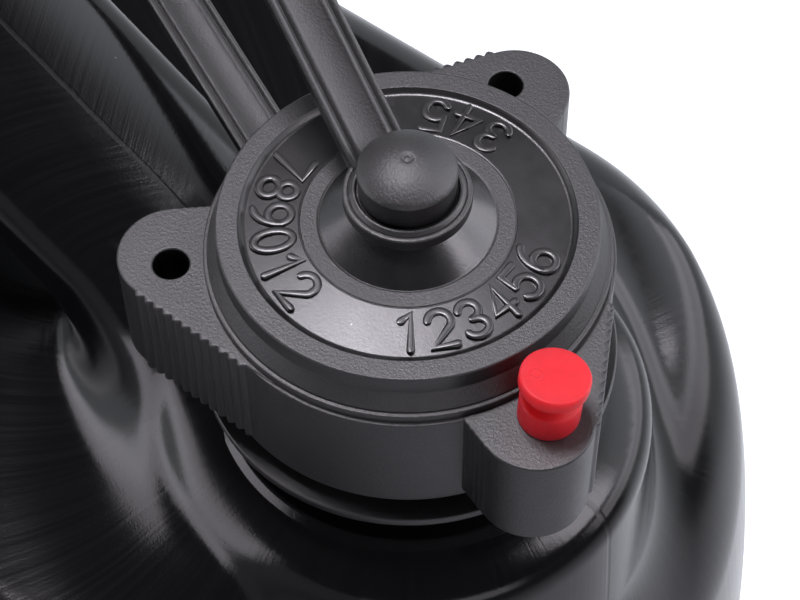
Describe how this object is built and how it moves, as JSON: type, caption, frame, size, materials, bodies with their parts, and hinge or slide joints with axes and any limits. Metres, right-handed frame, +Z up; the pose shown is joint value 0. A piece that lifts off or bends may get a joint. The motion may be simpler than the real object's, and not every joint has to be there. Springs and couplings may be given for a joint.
{
  "type": "gas can",
  "caption": "Upright plastic fuel can with a moulded grab handle, a threaded neck, a lugged screw cap on a tether strap and a push-in indicator peg.",
  "frame": {"origin": "Under the middle of the box round the whole part, on the ground that the can stands on.", "axes": "+Z up along the neck and cap axis, +X along the length of the can towards the cap end, +Y across it."},
  "size_m": [0.34, 0.19, 0.4845],
  "materials": {
    "can_plastic": "glossy blow-moulded polyethylene with fine mould tool marks",
    "cap_plastic": "satin injection-moulded plastic with a fine grain",
    "gasket_rubber": "smooth matt rubber",
    "strap_plastic": "pebbled soft plastic with smooth edge ribs",
    "peg_plastic": "smooth red moulded plastic"
  },
  "bodies": {
    "can": {"can_body": "can_plastic", "strap_ring": "strap_plastic", "strap_band": "strap_plastic"},
    "eye": {"strap_eye": "strap_plastic"},
    "cap": {"screw_cap": "cap_plastic", "cap_gasket": "gasket_rubber"},
    "peg": {"indicator_peg": "peg_plastic"}
  },
  "joints": [
    {"name": "cap_rise", "type": "slide", "parent": "can", "child": "eye", "axis": [0, 0, 1], "range_m": [0, 0.025], "deforming": ["strap_band"]},
    {"name": "cap_turn", "type": "hinge", "parent": "eye", "child": "cap", "pos_m": [0.113, 0, 0.44], "axis": [0, 0, 1], "range_deg": [0, 1800]},
    {"name": "peg_pull", "type": "slide", "parent": "cap", "child": "peg", "axis": [0, 0, 1], "range_m": [0, 0.016]}
  ],
  "couplings": [
    {"joint": "cap_rise", "follows": "cap_turn", "m_per_rad": 0.00079577}
  ]
}
